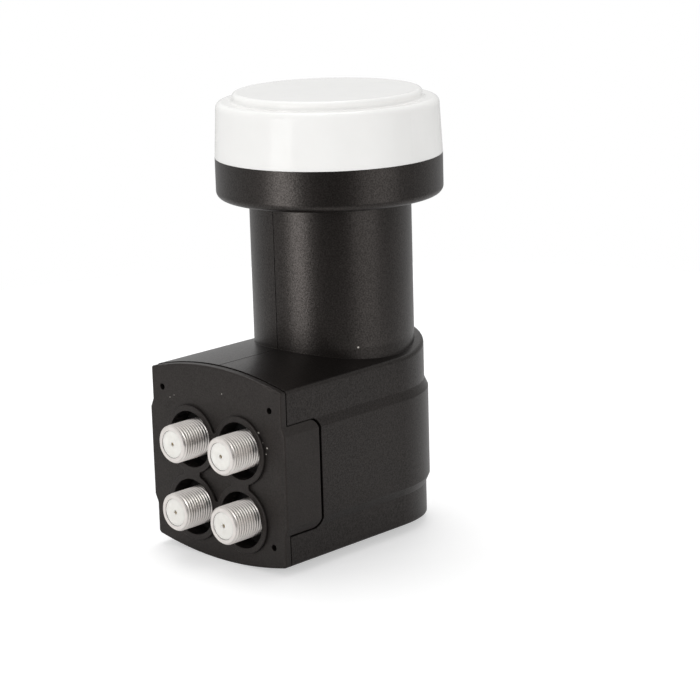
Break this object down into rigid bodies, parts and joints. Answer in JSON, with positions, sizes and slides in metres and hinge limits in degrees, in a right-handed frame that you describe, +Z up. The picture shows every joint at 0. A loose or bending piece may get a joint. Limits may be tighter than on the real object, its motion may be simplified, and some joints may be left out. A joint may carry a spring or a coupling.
{
  "type": "satellite LNB",
  "caption": "Satellite dish LNB with a white feed cap, round clamp neck, crowned black casing and threaded coaxial outputs on its front plate.",
  "frame": {"origin": "on the axis of the round neck, halfway along the stretch that a clamp holds", "axes": "+Z up the neck towards the feed cap, -Y towards the outputs, +X to the right seen from the outputs"},
  "size_m": [0.056, 0.0765, 0.1096],
  "materials": {
    "white_cap": "glossy moulded white",
    "black_plastic": "finely grained satin black",
    "nickel": "bright nickel plate",
    "white_insulator": "plain moulded white",
    "contact_brass": "bright",
    "cast_metal": "as cast",
    "rubber": "matte black",
    "screw_steel": "plain",
    "board": "green solder mask",
    "chip_black": "matte black"
  },
  "bodies": {
    "root": {"feed_cap": "white_cap", "collar_ring": "black_plastic", "casing_left": "black_plastic", "casing_right": "black_plastic", "front_cover": "black_plastic", "f_barrel_1": "nickel", "f_barrel_2": "nickel", "f_barrel_3": "nickel", "f_barrel_4": "nickel", "f_insulator_1": "white_insulator", "f_insulator_2": "white_insulator", "f_insulator_3": "white_insulator", "f_insulator_4": "white_insulator", "f_contact_1": "contact_brass", "f_contact_2": "contact_brass", "f_contact_3": "contact_brass", "f_contact_4": "contact_brass", "link_pins": "contact_brass", "probe_vertical": "contact_brass", "probe_horizontal": "contact_brass", "chassis": "cast_metal", "back_short": "cast_metal", "chassis_lid": "cast_metal", "cap_seal": "rubber", "front_gasket": "rubber", "lid_gasket": "rubber", "lid_screws": "screw_steel", "back_short_screws": "screw_steel", "if_board_screws": "screw_steel", "crystal_can": "screw_steel", "rf_board": "board", "if_board": "board", "rf_chips": "chip_black", "if_chips": "chip_black", "link_body": "chip_black"}
  },
  "joints": []
}
